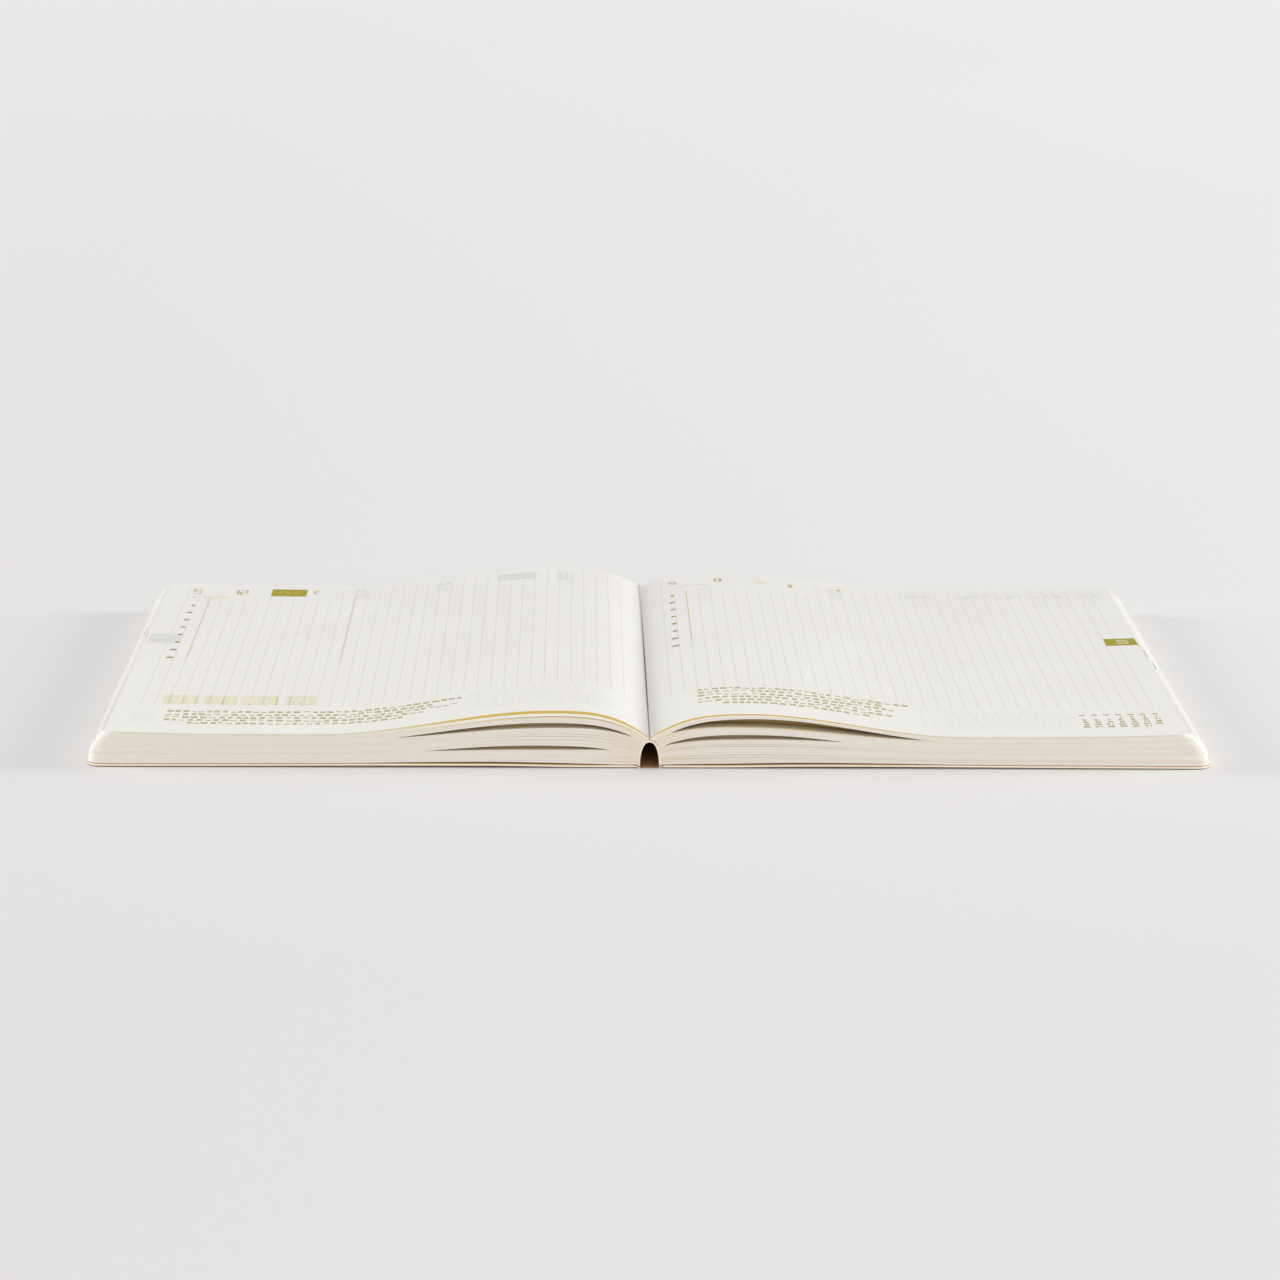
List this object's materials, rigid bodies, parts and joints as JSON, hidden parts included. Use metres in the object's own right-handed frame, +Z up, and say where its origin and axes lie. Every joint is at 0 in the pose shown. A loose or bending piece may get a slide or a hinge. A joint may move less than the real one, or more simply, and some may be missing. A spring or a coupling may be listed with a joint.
{
  "type": "opened planner",
  "caption": "Thread-sewn A5 day planner with thin card covers, lying open; its front half turns over to close and each cover swings at the spine.",
  "frame": {"origin": "on the table under the middle of the gutter, at the centre of the opened planner's footprint", "axes": "+X across the spread towards the right-hand page, +Y along the spine towards the head of the pages, +Z up out of the open pages"},
  "size_m": [0.3004, 0.21, 0.0158],
  "materials": {
    "page_paper": "smooth uncoated thin paper, warm white",
    "cover_card": "smooth matt white card",
    "endpaper": "plain uncoated cream paper",
    "lining_gauze": "glued book gauze",
    "thread": "waxed sewing thread"
  },
  "bodies": {
    "back_block": {"right_pages": "page_paper", "spine_lining_right": "lining_gauze", "cover_spine_right": "cover_card", "sewing_thread": "thread"},
    "front_block": {"left_pages": "page_paper", "spine_lining_left": "lining_gauze", "cover_spine_left": "cover_card"},
    "front_cover": {"front_cover": "cover_card", "front_endpaper": "endpaper"},
    "back_cover": {"back_cover": "cover_card", "back_endpaper": "endpaper"}
  },
  "joints": [
    {"name": "binding", "type": "hinge", "parent": "back_block", "child": "front_block", "pos_m": [0, 0, 0.0083], "axis": [0, 1, 0], "range_deg": [0, 100]},
    {"name": "front_cover_fold", "type": "hinge", "parent": "front_block", "child": "front_cover", "pos_m": [-0.00355, 0, 0.0004], "axis": [0, -1, 0], "range_deg": [0, 90]},
    {"name": "back_cover_fold", "type": "hinge", "parent": "back_block", "child": "back_cover", "pos_m": [0.00355, 0, 0.0004], "axis": [0, 1, 0], "range_deg": [0, 90]}
  ]
}
